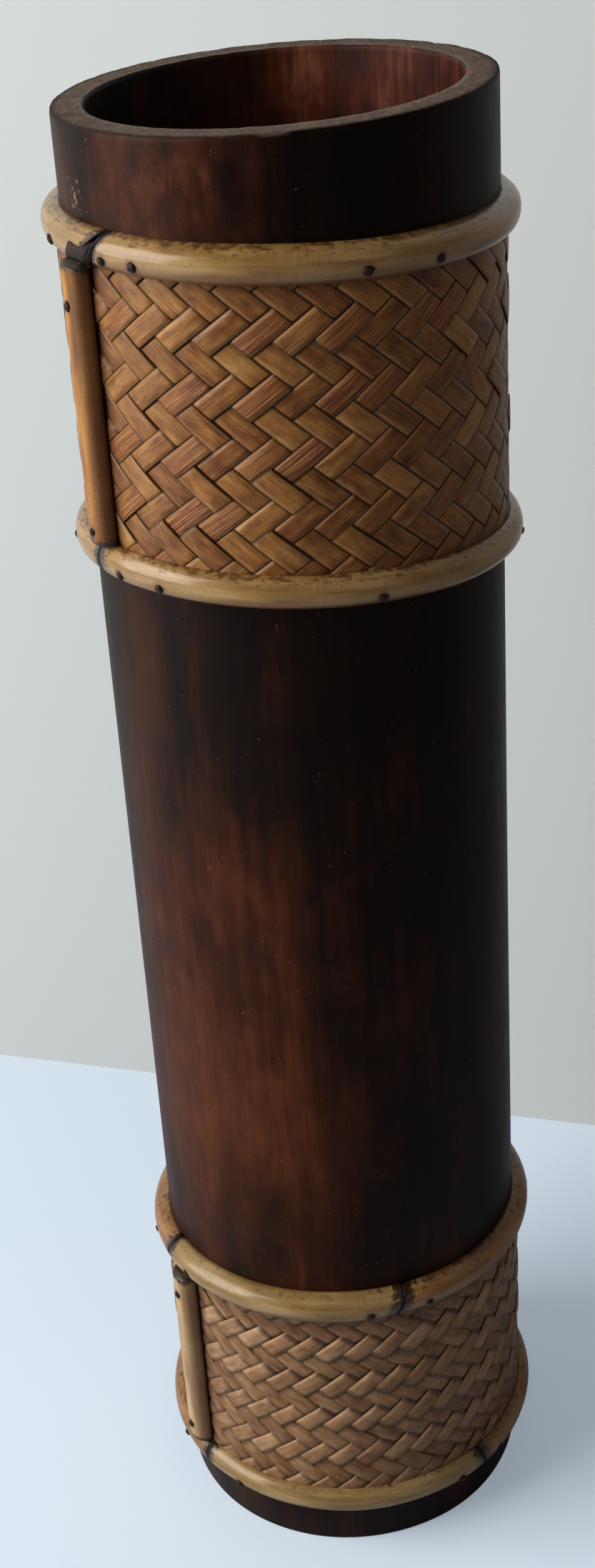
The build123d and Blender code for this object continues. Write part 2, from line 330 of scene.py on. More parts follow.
# Bore of the culm: the soft inner wall, stained with a brush, warmer and blotchier than the skin.
bore_wall, shader, place = new_material("stained_bamboo_bore")
streaks, clouds = [
    node(bore_wall, "TexNoise", {
        "Vector": node(bore_wall, "Mapping", {"Vector": place, "Scale": per_mm(*size)}),
        "Scale": 1.0, "Detail": detail, "Roughness": 0.6,
    })
    for size, detail in (((2.2, 2.2, 26), 4.0), ((10, 10, 18), 5.0))
]
depth = node(bore_wall, "MixRGB", (0.35, clouds, streaks))
# Turn, height, spread, squash and gain of two spots that took little stain, and of a broad painted shade on
# the side of the bore that the window's light does not reach
for turn, level, spread, squash, gain in (
    (230, 412, 12, 0.5, 0.16), (206, 412, 10, 0.6, 0.06), (320, 400, 72, 0.3, -0.26),
):
    middle = turned(turn, culm_radius - rim_wall, level * mm)
    near = soft_spot(bore_wall, place, middle, spread, squash, gain)
    depth = node(bore_wall, "Math", (depth, near), operation="ADD")
stain_stops = [(0.28, "#100705"), (0.45, "#2f140d"), (0.58, "#512317"), (0.8, "#86583a")]
stain = node(bore_wall, "ValToRGB", {"Fac": depth}, stops=stain_stops)
relief = node(bore_wall, "Bump", {"Height": streaks, "Strength": 0.2, "Distance": 0.2 * mm})
feed(bore_wall, shader, {"Base Color": stain, "Roughness": 0.55, "Normal": relief})
feed(bore_wall, shader, {"IOR": 1.45, "Specular IOR Level": 0.2})

piece("culm_tube", make_culm(), [skin, sawn, bore_wall], "stained_bamboo", "culm")

# Woven mats
# Thin flat strips split from bamboo and woven two over, two under, wrapped round the culm and glued.
# In each mat the strips leaning right and the strips leaning left are a piece each. Painted light makes the
# strips leaning right paler than those leaning left.

mat_clearance = 0.1 * mm
mat_thickness = 1.5 * mm
mat_middle = culm_radius + mat_clearance + mat_thickness * 0.5
mat_crest = culm_radius + mat_clearance + mat_thickness
seam_gap = 1.2 * mm
strip_thickness = 0.4 * mm
strip_lift = 0.3 * mm
strip_ripple = 0.02 * mm
strips_spare = 20
steps_per_crossing = 6
rows_across = 4
draw = random.Random(11)


def float_lift(beside, softness):
    """Height of a strip, from -1 below to 1 above, at a place counted in strips from its float's middle."""
    wave = cos(pi / 2 * beside)
    return wave * (1 + softness) / (abs(wave) + softness)


def make_strips(size, run, across, start, over, crown, softness, crowding, painted_lean_light, fibrous):
    """Strips of one lean, laid flat, cut to the mat's size and then bent round the culm."""
    length, bottom, top = size
    mesh = bmesh.new()
    lie = mesh.verts.layers.float_vector.new("lie")
    tone = mesh.verts.layers.float_vector.new("tone")
    width = abs(run.x * across.y - run.y * across.x) / run.length
    count = int(length / abs(run.x)) + strips_spare
    for number in range(-count, count):
        line = start + across * (number + 0.5)
        ends = sorted((-line.y / run.y, (top - bottom - line.y) / run.y))
        first, last = ends[0] - 1, ends[1] + 1
        end_sides = [(line + run * along).x for along in (first, last)]
        if max(end_sides) < 0 or min(end_sides) > length:
            continue
        # The strip's random shade, shifted by painted light: up for the strips leaning right, down for those
        # leaning left
        shade = min(max(draw.random() + painted_lean_light, 0), 1)
        frayed = draw.uniform(0.75, 1.0) if number in fibrous else draw.uniform(0.0, 0.5) * bool(fibrous)
        fill = draw.uniform(0.965, 0.99)
        drift = draw.uniform(-0.01, 0.01)
        steps = int((last - first) * steps_per_crossing)
        grid = bmesh.ops.create_grid(mesh, x_segments=steps, y_segments=rows_across, size=1)
        centre = number + over
        for vert in grid["verts"]:
            along = first + (vert.co.x + 1) / 2 * (last - first)
            share = vert.co.y / 2
            along += crowding / pi * sin(pi * (along - centre))
            beside = (along - centre + 2) % 4 - 2
            float_number = round((along - centre) / 4)
            point = line + run * along + across * (share * fill + drift)
            rise = float_lift(beside, softness) * strip_lift - crown * (2 * share) ** 2
            rise += noise.noise(Vector((number * 7.3, float_number * 3.1, share))) * strip_ripple
            vert.co = (point.x, point.y, rise)
            vert[lie] = (along * run.length / mm, share * width / mm, beside)
            patch = noise.cell(Vector((number * 1.7 + 0.5, float_number + 0.5, over + 0.5)))
            vert[tone] = (shade, patch, frayed)
    for cut, outward in (
        ((0, 0, 0), (-1, 0, 0)),
        ((length, 0, 0), (1, 0, 0)),
        ((0, 0, 0), (0, -1, 0)),
        ((0, top - bottom, 0), (0, 1, 0)),
    ):
        geometry = mesh.verts[:] + mesh.edges[:] + mesh.faces[:]
        bmesh.ops.bisect_plane(mesh, geom=geometry, plane_co=cut, plane_no=outward, clear_outer=True)
    for vert in mesh.verts:
        turn = degrees((seam_gap / 2 + vert.co.x) / mat_crest)
        vert.co = turned(turn, mat_middle + vert.co.z, bottom + vert.co.y)
    smooth(mesh)
    outward = sum(face.normal.dot(Vector((*face.calc_center_median().xy, 0))) for face in mesh.faces)
    if outward < 0:
        bmesh.ops.reverse_faces(mesh, faces=mesh.faces)
    return mesh


def strip_material(name, stops, crease, stain_lines):
    """Split bamboo strip: long fine fibres, soft satin skin, painted shade and dirt where strips cross.

    The attribute lie holds the place along and across the strip in mm and the place on its float. The
    attribute tone holds the strip's shade with the painted light of its lean, the float's shade and how
    fibrous the strip is.
    """
    material, shader, place = new_material(name)
    lie = node(material, "Attribute", (), attribute_name="lie").outputs["Vector"]
    tone = node(material, "Attribute", (), attribute_name="tone").outputs["Vector"]
    tones = node(material, "SeparateXYZ", {"Vector": tone})
    lies = node(material, "SeparateXYZ", {"Vector": lie})
    spread = node(material, "VectorMath", (tone, (37, 53, 0)), operation="MULTIPLY")
    own = node(material, "VectorMath", (lie, (1, 1, 0)), operation="MULTIPLY")
    own = node(material, "VectorMath", (own, spread), operation="ADD")
    # Size of each pattern along and across the strip in mm, its detail and its roughness
    fibres, clouds, coarse, cracks = [
        node(material, "TexNoise", {
            "Vector": node(material, "Mapping", {"Vector": own, "Scale": (1 / along, 1 / across, 1)}),
            "Scale": 1.0, "Detail": detail, "Roughness": roughness,
        })
        for along, across, detail, roughness in (
            (9, 0.28, 5.0, 0.65), (6, 2.5, 2.0, 0.5), (14, 0.5, 3.0, 0.7), (8, 0.55, 2.0, 0.5),
        )
    ]
    mixed = node(material, "Math", (fibres, clouds), operation="ADD")
    mixed = node(material, "Math", (mixed, 0.5), operation="MULTIPLY")
    for part in ("X", "Y"):
        shade = node(material, "MapRange", (tones.outputs[part], 0, 1, -0.05, 0.05))
        mixed = node(material, "Math", (mixed, shade), operation="ADD")
    colour = node(material, "ValToRGB", {"Fac": mixed}, stops=stops)

    # Torn faces of the fibrous strips, coarse and paler, their palest fibres partly a painted highlight
    torn_fibre_and_highlight_stops = [(0.34, "#552911"), (0.5, "#90532a"), (0.68, "#cb9660")]
    torn = node(material, "ValToRGB", {"Fac": coarse}, stops=torn_fibre_and_highlight_stops)
    fray = node(material, "MapRange", (tones.outputs["Y"], 0, 1, 0.6, 1.1))
    fray = node(material, "Math", (fray, tones.outputs["Z"]), operation="MULTIPLY")
    fray = node(material, "MapRange", (fray, 0.1, 0.8, 0, 1))
    colour = node(material, "MixRGB", (fray, colour, torn))

    # Fine splits along the strip, in patches
    crack = node(material, "Math", (cracks, 0.5), operation="SUBTRACT")
    crack = node(material, "Math", (crack,), operation="ABSOLUTE")
    crack = node(material, "MapRange", (crack, 0.016, 0.003, 0, 1))
    where = node(material, "MapRange", (clouds, 0.5, 0.62, 0, 0.75))
    crack = node(material, "Math", (crack, where), operation="MULTIPLY")
    colour = node(material, "MixRGB", (crack, colour, "#2e170b"))

    # Painted shade with dirt where the strip dips under another, and by the distance in mm from its middle
    # a pale cut edge that is partly a painted highlight, with painted shade and dirt outside it in the gap
    beside = node(material, "Math", (lies.outputs["Z"],), operation="ABSOLUTE")
    ends = node(material, "MapRange", (beside, crease, 1, 0, 0.75))
    aside = node(material, "Math", (lies.outputs["Y"],), operation="ABSOLUTE")
    cut = node(material, "MapRange", (aside, 2.1, 2.5, 0, 0.22))
    colour = node(material, "MixRGB", (cut, colour, "#dcb27c"))
    sides = node(material, "MapRange", (aside, 2.5, 2.78, 0, 0.75))
    crease_shade_and_dirt = node(material, "Math", (ends, sides), operation="MAXIMUM")
    colour = node(material, "MixRGB", (crease_shade_and_dirt, colour, "#2b150a"))

    # Smudges all over, wet brown stain beside the two hoops, and painted shade with dirt beside the seam
    # batten
    smudges, blots = [
        node(material, "TexNoise", {
            "Vector": node(material, "Mapping", {"Vector": place, "Scale": per_mm(*size)}),
            "Scale": 1.0, "Detail": detail, "Roughness": roughness,
        })
        for size, detail, roughness in (((6, 6, 5), 6.0, 0.7), ((2.2, 2.2, 1.6), 4.0, 0.6))
    ]
    smudge = node(material, "MapRange", (smudges, 0.52, 0.72, 0, 0.5))
    colour = node(material, "MixRGB", (smudge, colour, "#55301a"))
    places = node(material, "SeparateXYZ", {"Vector": place})
    for level, side in stain_lines:
        near = node(material, "MapRange", (places.outputs["Z"], level + side * 7 * mm, level, 0, 0.45))
        wet = node(material, "Math", (near, blots), operation="MULTIPLY")
        wet = node(material, "Math", (wet, 2.0), operation="MULTIPLY")
        colour = node(material, "MixRGB", (wet, colour, "#472412"))
    off_seam = node(material, "Math", (places.outputs["Y"],), operation="ABSOLUTE")
    off_seam = node(material, "MapRange", (off_seam, 8.5 * mm, 5 * mm, 0, 0.8))
    seam_side = node(material, "Math", (places.outputs["X"], 0.0), operation="LESS_THAN")
    seam_shade_and_dirt = node(material, "Math", (off_seam, seam_side), operation="MULTIPLY")
    colour = node(material, "MixRGB", (seam_shade_and_dirt, colour, "#2b150a"))

    relief = node(material, "Bump", {"Height": fibres, "Strength": 0.4, "Distance": 0.12 * mm})
    ribs = node(material, "Math", (coarse, fray), operation="MULTIPLY")
    relief = node(
        material, "Bump", {"Height": ribs, "Strength": 0.9, "Distance": 0.5 * mm, "Normal": relief}
    )
    sheen = node(material, "MapRange", (clouds, 0, 1, 0.3, 0.5))
    feed(material, shader, {"Base Color": colour, "Roughness": sheen, "Normal": relief})
    feed(material, shader, {"IOR": 1.48, "Specular IOR Level": 0.3})
    return material


def make_mat(
    name, cad_node, right_width, left_width, right_angle, left_angle, start, rise,
    crown, softness, crowding, painted_lean_light, crease, stops, fibrous=(),
):
    """Both leans of one mat. The widths and angles of the strips give the grid that they cross on."""
    low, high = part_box(cad_node)
    length = 2 * pi * mat_crest - seam_gap
    crossing = sin(radians(right_angle + left_angle))
    right = Vector((cos(radians(right_angle)), sin(radians(right_angle)))) * left_width / crossing
    left = Vector((cos(radians(left_angle)), -sin(radians(left_angle)))) * right_width / crossing
    size = (length, low.z, high.z)
    corner = Vector((start, rise))
    stain_lines = [(low.z + 4 * mm, 1), (high.z - 4 * mm, -1)]
    material = strip_material(name + "_split_bamboo", stops, crease, stain_lines)
    # Painted light: the strips leaning right are shifted paler and those leaning left darker
    for lean, run, across, over, torn, lean_light_shift in (
        ("right", right, left, 0, fibrous, painted_lean_light), ("left", left, right, 3, (), -painted_lean_light),
    ):
        mesh = make_strips(size, run, across, corner, over, crown, softness, crowding, lean_light_shift, torn)
        strips = piece(f"{name}_{lean}_strips", mesh, [material], "woven_bamboo", cad_node)
        body = strips.modifiers.new("thickness", "SOLIDIFY")
        body.thickness = strip_thickness
        body.offset = -1


make_mat(
    "upper_mat", "upper_woven_mat", right_width=5.64 * mm, left_width=5.95 * mm,
    right_angle=36.9, left_angle=39.9, start=6.3 * mm, rise=6.8 * mm,
    crown=0.04 * mm, softness=0.07, crowding=0.7, painted_lean_light=0.1, crease=0.92,
    stops=[(0.31, "#5f3517"), (0.44, "#8a592d"), (0.56, "#ab7a42"), (0.7, "#c8995d")],
    fibrous=(-4, -2, 0, 1),
)
make_mat(
    "lower_mat", "lower_woven_mat", right_width=5.39 * mm, left_width=5.20 * mm,
    right_angle=40.5, left_angle=38.4, start=9.2 * mm, rise=5.5 * mm,
    crown=0.26 * mm, softness=0.16, crowding=0.5, painted_lean_light=0.4, crease=0.74,
    stops=[(0.3, "#62412b"), (0.43, "#8f6a49"), (0.57, "#b08c69"), (0.72, "#c9a985")],
)

# Hoops of split cane
# Lengths of cane, split down the middle and bent round the edges of the mats with the skin outside.
# Each is held by small brads, and the joints between their ends are filled with dark glue.

hoop_width = 8.7 * mm
hoop_thickness = 2.6 * mm
hoop_seat = mat_crest + 0.35 * mm
joint_gap = 1.6 * mm
half_gap = degrees(joint_gap / 2 / hoop_seat)
mat_press = 0.85 * mm
culm_press = 2.5 * mm
press_start, press_reach = 0.2, 2.5 * mm
girth_change = 0.04
wander = 0.25 * mm
lean_degrees = 12
brad_drop = 1.6 * mm
stain_reach = 3 * mm
upper_low, upper_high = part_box("upper_woven_mat")
lower_low, lower_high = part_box("lower_woven_mat")

# Turns of the brads, which sit a little below the middle of each hoop
top_brads = [13.8, 23.2, 78.1, 97.0, 154.0, 208.0, 262.0, 318.0, 349.0]
second_brads = [8.5, 22.2, 78.4, 141.0, 205.0, 270.0, 334.0]
third_brads = [4.4, 66.0, 84.0, 150.0, 214.0, 278.0, 340.0]
foot_brads = [20.0, 93.5, 111.0, 172.0, 236.0, 300.0, 352.0]

# Middle height, slant, the turn towards which the hoop rises, the side on which the culm is bare, and brads
Ring = namedtuple("Ring", "level slant rise_turn bare_side brads")
top_ring = Ring(upper_high.z, 3.2 * mm, -64.0, 1, top_brads)
second_ring = Ring(upper_low.z, 5.8 * mm, 11.0, -1, second_brads)
third_ring = Ring(lower_high.z, 4.2 * mm, 55.0, 1, third_brads)
foot_ring = Ring(lower_low.z, 1.6 * mm, -50.0, -1, foot_brads)


def ring_height(ring, turn):
    """Height of a hoop's middle at a turn from the seam."""
    return ring.level + ring.slant / 2 * cos(radians(turn - ring.rise_turn)) * hoop_seat / culm_radius


def snug(ring, height, out):
    """Radius of a point of a hoop, pressed on the mat and leaning in to the culm past the mat's edge."""
    past = rounded((height - ring.level) * ring.bare_side / press_reach + press_start)
    press = mat_press + past * (culm_press - mat_press)
    return hoop_seat + out - press * (1 - min(max(out, 0) / hoop_thickness, 1))


def cane_face(share):
    """How far the cane's round skin stands out at a share of its half width, as a share of its thickness."""
    return max(1 - abs(share) ** 2.2, 0) ** 0.5


def cane_section(across, out):
    """How far a cane stands out: its round skin in front, and a nearly flat split face behind."""
    return cane_face(across) if out > 0 else -0.1 * cane_face(across)


def stain_at(gaps):
    """Strength of the brown stain round the brads, at a list of distances from them."""
    return max([0.0] + [1 - gap / stain_reach for gap in gaps])


def make_cane(ring, turn_from, turn_to, leans, burns):
    """Half-round cane bent along a hoop, from one joint to the next, with its ends cut at a lean."""
    half = hoop_width / 2
    swing = turn_to - turn_from
    mesh = bmesh.new()
    run = mesh.verts.layers.float_vector.new("run")
    wear = mesh.verts.layers.float_vector.new("wear")
    outline = bmesh.ops.create_circle(mesh, segments=32, radius=1)["verts"]
    for vert in outline:
        up, out = vert.co.y, vert.co.x
        vert.co = turned(0, hoop_seat + cane_section(up, out) * hoop_thickness, up * half)
    edges = list({edge for vert in outline for edge in vert.link_edges})
    steps = int(swing * 2)
    bmesh.ops.spin(
        mesh, geom=outline + edges, cent=(0, 0, 0), axis=(0, 0, 1), angle=radians(swing), steps=steps
    )
    bmesh.ops.remove_doubles(mesh, verts=mesh.verts, dist=weld_reach)
    ends = [edge for edge in mesh.edges if edge.is_boundary]
    for cap in bmesh.ops.holes_fill(mesh, edges=ends, sides=40)["faces"]:
        bmesh.ops.inset_region(mesh, faces=[cap], thickness=0.5 * mm, depth=0.25 * mm)
    smooth(mesh)
    for vert in mesh.verts:
        start_gap = turn_of(vert.co)
        if start_gap > (360 + swing) / 2:
            start_gap -= 360
        end_gap = swing - start_gap
        share = vert.co.z / half
        out = hypot(vert.co.x, vert.co.y) - hoop_seat
        start_lean = leans[0] * rounded(1 - start_gap / lean_degrees)
        end_lean = leans[1] * rounded(1 - end_gap / lean_degrees)
        turn = turn_from + start_gap + share * (start_lean + end_lean)
        drift = noise.noise(Vector((turn / 40, ring.level * 50, 0))) * wander
        girth = 1 + girth_change * noise.noise(Vector((turn / 23, ring.level * 70, 2)))
        height = ring_height(ring, turn) + share * half * girth + drift
        vert.co = turned(turn, snug(ring, height, out * girth if out > 0 else out), height)
        tip = min(start_gap / burns[0], end_gap / burns[1]) * radians(1) * hoop_seat / mm
        gaps = [hypot(radians(turn - brad) * hoop_seat, share * half + brad_drop) for brad in ring.brads]
        vert[run] = (radians(turn) * hoop_seat / mm, share, 0)
        vert[wear] = (tip, stain_at(gaps), 0)
    return mesh


def cane_material(name, tones, shaded_side, blot, blot_cover, coat):
    """Rattan cane skin: hard, glossy and pale, with hairline cross cracks and brown stain in its flaws.

    The attribute run holds the place along the cane in mm and across it from -1 to 1. The attribute wear
    holds the distance from the burnt end and the stain round the brads.
    """
    pale, mid, deep = tones
    material, shader, place = new_material(name)
    run = node(material, "Attribute", (), attribute_name="run").outputs["Vector"]
    wear = node(material, "Attribute", (), attribute_name="wear").outputs["Vector"]
    wear = node(material, "SeparateXYZ", {"Vector": wear})
    # Size of each pattern along the cane in mm, its repeats across, its detail and its roughness
    flow, lines, ticks, zones, blots = [
        node(material, "TexNoise", {
            "Vector": node(material, "Mapping", {"Vector": run, "Scale": (1 / along, across, 0)}),
            "Scale": 1.0, "Detail": detail, "Roughness": roughness,
        })
        for along, across, detail, roughness in (
            (22, 1.2, 3.0, 0.5), (30, 1 / 0.06, 4.0, 0.5), (0.2, 1 / 1.2, 1.0, 0.5),
            (18, 1.2, 2.0, 0.5), (2.6, 1 / 0.2, 5.0, 0.7),
        )
    ]
    mixed = node(material, "MixRGB", (0.25, flow, lines))
    colour = node(material, "ValToRGB", {"Fac": mixed}, stops=[(0.32, deep), (0.48, mid), (0.62, pale)])
    # Cross cracks, in zones
    zone = node(material, "MapRange", (zones, 0.42, 0.62, 0, 0.42))
    tick = node(material, "MapRange", (ticks, 0.45, 0.65, 0, 1))
    tick = node(material, "Math", (tick, zone), operation="MULTIPLY")
    colour = node(material, "MixRGB", (tick, colour, deep))

    # Painted shade on the lower side, which on a batten is the side away from the window, specks all over,
    # and blots of stain, most of them near the upper edge
    side = node(material, "SeparateXYZ", {"Vector": run}).outputs["Y"]
    below = node(material, "MapRange", (side, -0.05, -0.85, 0, 0.8))
    colour = node(material, "MixRGB", (below, colour, shaded_side))
    specks = node(material, "Mapping", {"Vector": place, "Scale": per_mm(0.9, 0.9, 0.7)})
    specks = node(material, "TexNoise", {"Vector": specks, "Scale": 1.0, "Detail": 2.0, "Roughness": 0.6})
    speck = node(material, "MapRange", (specks, 0.68, 0.73, 0, 0.7))
    colour = node(material, "MixRGB", (speck, colour, blot))
    upper = node(material, "MapRange", (side, 0.1, 0.95, -0.2, 0.08))
    spots = node(material, "Math", (blots, upper), operation="ADD")
    first = 0.6 - blot_cover * 0.1
    spots = node(material, "MapRange", (spots, first, first + 0.14, 0, 0.8))
    colour = node(material, "MixRGB", (spots, colour, blot))

    # Burnt ends, and rust round the brads with a warm stain outside it
    tip = node(material, "MapRange", (wear.outputs["X"], 1, 0, -0.3, 0.22))
    burnt = node(material, "Math", (tip, blots), operation="ADD")
    burnt = node(material, "MapRange", (burnt, 0.46, 0.6, 0, 0.95))
    colour = node(material, "MixRGB", (burnt, colour, "#24130d"))
    halo = node(material, "Math", (wear.outputs["Y"], blots), operation="ADD")
    warm = node(material, "MapRange", (halo, 0.62, 1.1, 0, 0.6))
    colour = node(material, "MixRGB", (warm, colour, "#7a451c"))
    rust = node(material, "MapRange", (halo, 1.0, 1.14, 0, 0.95))
    colour = node(material, "MixRGB", (rust, colour, "#20110a"))

    relief = node(material, "Bump", {"Height": ticks, "Strength": 0.1, "Distance": 0.05 * mm})
    relief = node(
        material, "Bump", {"Height": lines, "Strength": 0.08, "Distance": 0.05 * mm, "Normal": relief}
    )
    gloss = node(material, "MapRange", (blots, 0, 1, 0.24, 0.46))
    feed(material, shader, {"Base Color": colour, "Roughness": gloss, "Normal": relief, "IOR": 1.5})
    feed(material, shader, {"Specular IOR Level": 0.3, "Coat Weight": coat, "Coat Roughness": 0.16})
    return material


pale_cane = cane_material(
    "pale_rattan_cane", tones=("#bc9d68", "#a4804a", "#77532a"), shaded_side="#6f3f1f", blot="#4a2612",
    blot_cover=0.85, coat=0.55,
)
green_cane = cane_material(
    "straw_rattan_cane", tones=("#b59c6e", "#997d4e", "#6d5229"), shaded_side="#6f4722", blot="#43230f",
    blot_cover=-0.2, coat=0.4,
)
red_cane = cane_material(
    "red_brown_rattan_cane", tones=("#b08a58", "#97693a", "#6a4222"), shaded_side="#6b3a17", blot="#30140a",
    blot_cover=0.5, coat=0.4,
)

# Cane, CAD node, material, ring, turns and leans of the two ends, reach in mm of the burnt stain at each end
canes = [
    (
        "upper_top_cane", "upper_band_top_hoop", pale_cane,
        top_ring, (10.6, 367), (2.4, 5.6), (3.0, 3.8),
    ),
    (
        "upper_bottom_cane", "upper_band_bottom_hoop", pale_cane,
        second_ring, (-1.0, 359), (0.0, 0.0), (7.0, 4.0),
    ),
    (
        "lower_top_front_cane", "lower_band_top_hoop_front", green_cane,
        third_ring, (-6.0, 75.3), (0.0, 2.0), (4.0, 7.0),
    ),
    (
        "lower_top_back_cane", "lower_band_top_hoop_back", red_cane,
        third_ring, (75.3, 354), (2.0, 0.0), (5.0, 4.0),
    ),
    (
        "lower_foot_front_cane", "lower_band_bottom_hoop_front", green_cane,
        foot_ring, (5.8, 102.9), (0.0, -1.2), (4.0, 5.0),
    ),
    (
        "lower_foot_back_cane", "lower_band_bottom_hoop_back", red_cane,
        foot_ring, (102.9, 365.8), (-1.2, 0.0), (6.0, 4.0),
    ),
]
for name, cad_node, material, ring, turns, leans, burns in canes:
    mesh = make_cane(ring, turns[0] + half_gap, turns[1] - half_gap, leans, burns)
    piece(name, mesh, [material], "split_cane", cad_node)

# Seam battens
# A straight half-round cane over the seam of each mat, from hoop to hoop, nailed at both ends.
# Its ends are worn a little narrower and thinner.

batten_seat = mat_crest + 0.2 * mm
batten_thickness = 4.1 * mm
batten_width = 10 * mm
batten_rows = 90
batten_burn = 4 * mm
worn_end = 0.8 * mm
worn_width, worn_thickness = 0.94, 0.9
batten_girth_change = 0.03


def make_batten(cad_node, brads):
    """Half-round cane along the seam, built as an upright of height 1 and then shaped row by row."""
    low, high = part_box(cad_node)
    tall = high.z - low.z
    mesh = bmesh.new()
    run = mesh.verts.layers.float_vector.new("run")
    wear = mesh.verts.layers.float_vector.new("wear")
    bmesh.ops.create_circle(mesh, segments=32, radius=1)
    bottom = bmesh.ops.contextual_create(mesh, geom=mesh.edges[:])["faces"]
    raised = bmesh.ops.extrude_face_region(mesh, geom=bottom)["geom"]
    top = [item for item in raised if isinstance(item, bmesh.types.BMVert)]
    bmesh.ops.translate(mesh, verts=top, vec=(0, 0, 1))
    sides = [edge for edge in mesh.edges if abs(edge.verts[0].co.z - edge.verts[1].co.z) > 0.5]
    bmesh.ops.subdivide_edges(mesh, edges=sides, cuts=batten_rows, use_grid_fill=True)
    for vert in mesh.verts:
        out, across, up = vert.co
        depth = cane_section(across, out)
        tip = min(up, 1 - up) * tall
        ends = rounded(tip / worn_end)
        girth = 1 + batten_girth_change * noise.noise(Vector((up * 4, across, tall * 100)))
        side = across * batten_width / 2 * girth * (worn_width + (1 - worn_width) * ends)
        thin = worn_thickness + (1 - worn_thickness) * ends if depth > 0 else 1
        stand = batten_seat + depth * batten_thickness * girth * thin
        height = low.z + up * tall
        vert.co = (-stand, side, height)
        vert[run] = (height / mm, across, 0)
        vert[wear] = (tip / batten_burn, stain_at([hypot(side, height - brad) for brad in brads]), 0)
    smooth(mesh)
    if mesh.calc_volume(signed=True) < 0:
        bmesh.ops.reverse_faces(mesh, faces=mesh.faces)
    return mesh


upper_batten_brads = [323 * mm, 378 * mm]
lower_batten_brads = [30 * mm, 82 * mm]
amber_cane = cane_material(
    "amber_rattan_cane", tones=("#cf943c", "#a96e28", "#6f4214"), shaded_side="#3a1c0b", blot="#2e1609",
    blot_cover=0.6, coat=0.08,
)
brown_cane = cane_material(
    "brown_rattan_cane", tones=("#d6b98f", "#be9e74", "#8e6d4b"), shaded_side="#5c3a22", blot="#3a1f10",
    blot_cover=0.3, coat=0.08,
)
upper_mesh = make_batten("upper_seam_batten", upper_batten_brads)
lower_mesh = make_batten("lower_seam_batten", lower_batten_brads)
piece("upper_batten", upper_mesh, [amber_cane], "split_cane", "upper_seam_batten")
piece("lower_batten", lower_mesh, [brown_cane], "split_cane", "lower_seam_batten")

# Brads
# Small steel nails with domed heads, blued dark and a little rusty, driven flush into the cane.
# On the hoops they lean down with the round of the skin.

brad_radius = 1.15 * mm
brad_dome = 0.5 * mm
brad_oval = 0.92
hoop_tilt = -0.3


def seat_on(turn, radius, height, tilt):
    """Matrix that carries a piece built along +Z to a spot on the cane, leaning by a tilt."""
    out = turned(turn, 1, 0)
    facing = (out * cos(tilt) + Vector((0, 0, sin(tilt)))).normalized()
    lean = facing.to_track_quat("Z", "Y").to_matrix().to_4x4()
    return Matrix.Translation(turned(turn, radius, height)) @ lean


def add_brad(mesh, seat):
    """One domed head, a little battered, with a soft lower edge."""
    head = bmesh.ops.create_uvsphere(mesh, u_segments=20, v_segments=12, radius=1)["verts"]
    size = draw.uniform(0.85, 1.12)
    wide = brad_radius * size
    seed = size * 50
    for vert in head:
        point = vert.co
        dent = 1
        for depth, dents, shift in ((0.3, 1.6, (seed, 0, 0)), (0.16, 4, (0, seed, 0))):
            dent += depth * noise.noise(point * dents + Vector(shift))
        vert.co = seat @ (Vector((point.x * wide, point.y * wide * brad_oval, point.z * brad_dome)) * dent)


def make_brads(rings, batten_brads):
    """All the brads of one band."""
    mesh = bmesh.new()
    stand = hoop_seat + cane_face(-brad_drop / (hoop_width / 2)) * hoop_thickness
    for ring in rings:
        for turn in ring.brads:
            add_brad(mesh, seat_on(turn, stand, ring_height(ring, turn) - brad_drop, hoop_tilt))
    for height in batten_brads:
        add_brad(mesh, seat_on(0, batten_seat + batten_thickness, height, 0))
    smooth(mesh)
    return mesh


blued, shader, place = new_material("rust_brown_steel_brad")
rust = node(blued, "Mapping", {"Vector": place, "Scale": per_mm(0.7, 0.7, 0.7)})
rust = node(blued, "TexNoise", {"Vector": rust, "Scale": 1.0, "Detail": 4.0, "Roughness": 0.6})
rust_stops = [(0.35, "#140b07"), (0.6, "#24150e"), (0.75, "#40281b")]
colour = node(blued, "ValToRGB", {"Fac": rust}, stops=rust_stops)
feed(blued, shader, {"Base Color": colour, "Roughness": 0.55, "Metallic": 0.2, "Specular IOR Level": 0.3})
upper_mesh = make_brads([top_ring, second_ring], upper_batten_brads)
lower_mesh = make_brads([third_ring, foot_ring], lower_batten_brads)
piece("upper_brads", upper_mesh, [blued], "dark_brads", "upper_band_brads")
piece("lower_brads", lower_mesh, [blued], "dark_brads", "lower_band_brads")

# Joint glue
# Dark brown glue pressed into the joints of the hoops, standing in small rough lumps.
# At the top of the upper batten it also stands on the hoop and on the batten's end.

lump_roundness = 0.6
lump_inset = 0.9


def add_lump(mesh, turn, height, lean, wide, tall, thick, ring=None):
    """One lump of glue, leaning with the saw cut, its front following the hoop or batten beside it."""
    lump = bmesh.ops.create_icosphere(mesh, subdivisions=5, radius=1)["verts"]
    for vert in lump:
        point = vert.co.copy()
        rough = 1
        for depth, bumps, shift in ((0.12, 1.2, (turn, height / mm, 0)), (0.025, 6, (0, turn, height / mm))):
            rough += depth * noise.noise(point * bumps + Vector(shift))
        out, side, up = [abs(part) ** lump_roundness * (1 if part > 0 else -1) for part in point]
        real = turn + degrees(side * wide * rough / hoop_seat) + up * lean
        reach = cane_face(min(abs(up if ring else side) * lump_inset, 1))
        stand = (out * 0.5 + 0.5) * thick * reach * rough
        level = height + up * tall * rough
        vert.co = turned(real, snug(ring, level, stand) if ring else batten_seat + stand, level)


